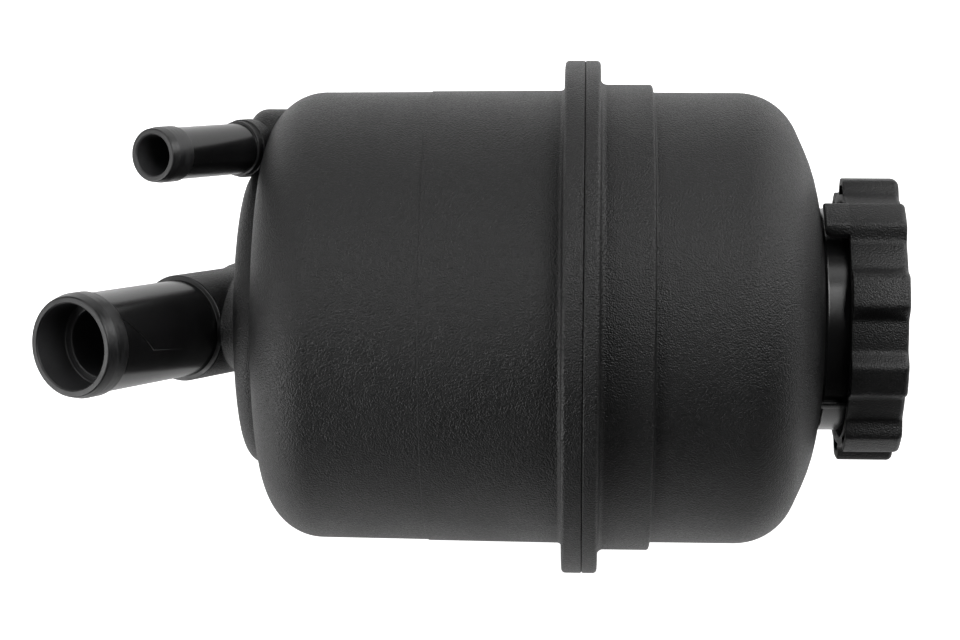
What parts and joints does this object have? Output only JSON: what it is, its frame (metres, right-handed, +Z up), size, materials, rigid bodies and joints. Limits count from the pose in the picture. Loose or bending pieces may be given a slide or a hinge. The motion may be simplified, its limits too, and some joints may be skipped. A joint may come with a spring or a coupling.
{
  "type": "power steering reservoir",
  "caption": "Black moulded power steering fluid reservoir: welded can with weld flange, lobed screw cap with dipstick, two slanted barbed hose spigots and an inner pleated filter.",
  "frame": {"origin": "on the can's axis, in the plane of the weld flange's lower face, where the can hangs in its ring bracket", "axes": "+Z up along the can's axis toward the screw cap; both hose spigots point to -Y and down; the small return spigot is at -X"},
  "size_m": [0.1, 0.1007, 0.16],
  "materials": {
    "shell_plastic": "fine spark-eroded grain, matt",
    "cap_plastic": "fine grain, semi-matt",
    "inner_plastic": "smooth moulded",
    "pale_plastic": "smooth moulded, natural colour",
    "rubber": "moulded rubber",
    "paper": "resin-treated filter paper",
    "spring_steel": "drawn wire",
    "zinc_plate": "zinc plated"
  },
  "bodies": {
    "reservoir": {"lower_shell": "shell_plastic", "upper_shell": "shell_plastic", "baffle_plate": "inner_plastic", "hold_down_spring": "spring_steel", "spring_seat": "zinc_plate", "filter_upper_cap": "pale_plastic", "filter_lower_cap": "pale_plastic", "filter_seal": "rubber", "filter_core": "pale_plastic", "filter_paper": "paper", "bypass_cage": "pale_plastic", "bypass_spring": "spring_steel"},
    "seal": {"cap_seal": "rubber"},
    "dipstick": {"dipstick": "inner_plastic"},
    "cap": {"fill_cap": "cap_plastic", "vent_plug": "inner_plastic", "vent_spring": "spring_steel"},
    "vent_valve": {"vent_disc": "rubber"},
    "bypass_valve": {"bypass_disc": "pale_plastic", "bypass_gasket": "rubber"}
  },
  "joints": [
    {"name": "cap_lift_off", "type": "slide", "parent": "reservoir", "child": "seal", "axis": [0, 0, 1], "range_m": [0, 0.08]},
    {"name": "cap_rise", "type": "slide", "parent": "seal", "child": "dipstick", "axis": [0, 0, 1], "range_m": [0, 0.006]},
    {"name": "cap_turn", "type": "hinge", "parent": "dipstick", "child": "cap", "pos_m": [0, 0, 0.06], "axis": [0, 0, 1], "range_deg": [0, 540]},
    {"name": "vent_lift", "type": "slide", "parent": "cap", "child": "vent_valve", "axis": [0, 0, 1], "range_m": [0, 0.001], "stiffness_N_per_m": 60, "springref_m": -0.002, "deforming": ["vent_spring"]},
    {"name": "bypass_lift", "type": "slide", "parent": "reservoir", "child": "bypass_valve", "axis": [0, 0, -1], "range_m": [0, 0.003], "stiffness_N_per_m": 300, "springref_m": -0.004, "deforming": ["bypass_spring"]}
  ],
  "couplings": [
    {"joint": "cap_rise", "follows": "cap_turn", "m_per_rad": 0.00063662}
  ]
}
